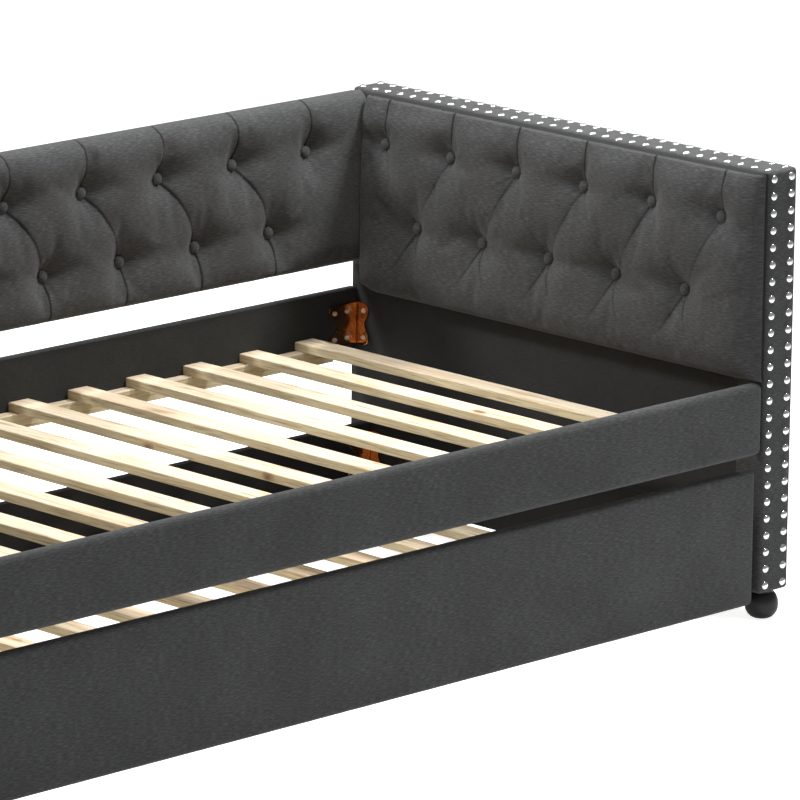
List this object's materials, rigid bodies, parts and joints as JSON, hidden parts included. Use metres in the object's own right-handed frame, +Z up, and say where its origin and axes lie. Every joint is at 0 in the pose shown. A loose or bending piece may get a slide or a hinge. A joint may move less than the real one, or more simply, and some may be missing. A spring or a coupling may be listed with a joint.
{
  "type": "trundle bed",
  "caption": "Upholstered daybed frame with tufted back and arms, nail head borders and slats, over a trundle box that rolls out on casters.",
  "frame": {"origin": "on the floor, under the middle of the bed's bounding box", "axes": "+X along the bed's length, +Y from the front rail to the back, +Z up"},
  "size_m": [2.168, 1.085, 0.845],
  "materials": {
    "upholstery": "plain woven charcoal linen-look cloth with fine light flecks",
    "nail_heads": "bright nickel domed nail heads",
    "pine": "raw planed pine with knots",
    "dark_board": "board wrapped in black cloth",
    "bracket_bronze": "copper-brown lacquered steel",
    "foot_lacquer": "turned wood in black lacquer",
    "caster_steel": "zinc plated pressed steel",
    "wheel_tread": "black moulded nylon"
  },
  "bodies": {
    "daybed": {"right_arm": "upholstery", "right_arm_border": "nail_heads", "right_arm_pad": "upholstery", "right_front_foot": "foot_lacquer", "right_rear_foot": "foot_lacquer", "right_front_bracket": "bracket_bronze", "right_back_bracket": "bracket_bronze", "left_arm": "upholstery", "left_arm_border": "nail_heads", "left_arm_pad": "upholstery", "left_front_foot": "foot_lacquer", "left_rear_foot": "foot_lacquer", "left_front_bracket": "bracket_bronze", "left_back_bracket": "bracket_bronze", "back_panel": "upholstery", "back_pad": "upholstery", "front_rail": "upholstery", "back_rail": "upholstery", "front_cleat": "pine", "back_cleat": "pine", "slat_01": "pine", "slat_02": "pine", "slat_03": "pine", "slat_04": "pine", "slat_05": "pine", "slat_06": "pine", "slat_07": "pine", "slat_08": "pine", "slat_09": "pine", "slat_10": "pine", "slat_11": "pine", "slat_12": "pine", "slat_13": "pine"},
    "trundle": {"trundle_front_panel": "upholstery", "trundle_right_board": "dark_board", "trundle_left_board": "dark_board", "trundle_back_board": "dark_board", "trundle_front_cleat": "pine", "trundle_back_cleat": "pine", "trundle_slat_01": "pine", "trundle_slat_02": "pine", "trundle_slat_03": "pine", "trundle_slat_04": "pine", "trundle_slat_05": "pine", "trundle_slat_06": "pine", "trundle_slat_07": "pine", "trundle_slat_08": "pine", "trundle_slat_09": "pine", "trundle_slat_10": "pine", "trundle_slat_11": "pine", "trundle_slat_12": "pine", "trundle_slat_13": "pine", "right_front_caster": "caster_steel", "right_rear_caster": "caster_steel", "left_front_caster": "caster_steel", "left_rear_caster": "caster_steel"},
    "right_front_wheel_body": {"right_front_wheel": "wheel_tread"},
    "right_rear_wheel_body": {"right_rear_wheel": "wheel_tread"},
    "left_front_wheel_body": {"left_front_wheel": "wheel_tread"},
    "left_rear_wheel_body": {"left_rear_wheel": "wheel_tread"}
  },
  "joints": [
    {"name": "trundle_slide", "type": "slide", "parent": "daybed", "child": "trundle", "axis": [0, -1, 0], "range_m": [0, 0.98]},
    {"name": "right_front_wheel_spin", "type": "hinge", "parent": "trundle", "child": "right_front_wheel_body", "pos_m": [0.9557, -0.418, 0.0225], "axis": [1, 0, 0], "continuous": true},
    {"name": "right_rear_wheel_spin", "type": "hinge", "parent": "trundle", "child": "right_rear_wheel_body", "pos_m": [0.9557, 0.352, 0.0225], "axis": [1, 0, 0], "continuous": true},
    {"name": "left_front_wheel_spin", "type": "hinge", "parent": "trundle", "child": "left_front_wheel_body", "pos_m": [-0.9557, -0.418, 0.0225], "axis": [1, 0, 0], "continuous": true},
    {"name": "left_rear_wheel_spin", "type": "hinge", "parent": "trundle", "child": "left_rear_wheel_body", "pos_m": [-0.9557, 0.352, 0.0225], "axis": [1, 0, 0], "continuous": true}
  ]
}
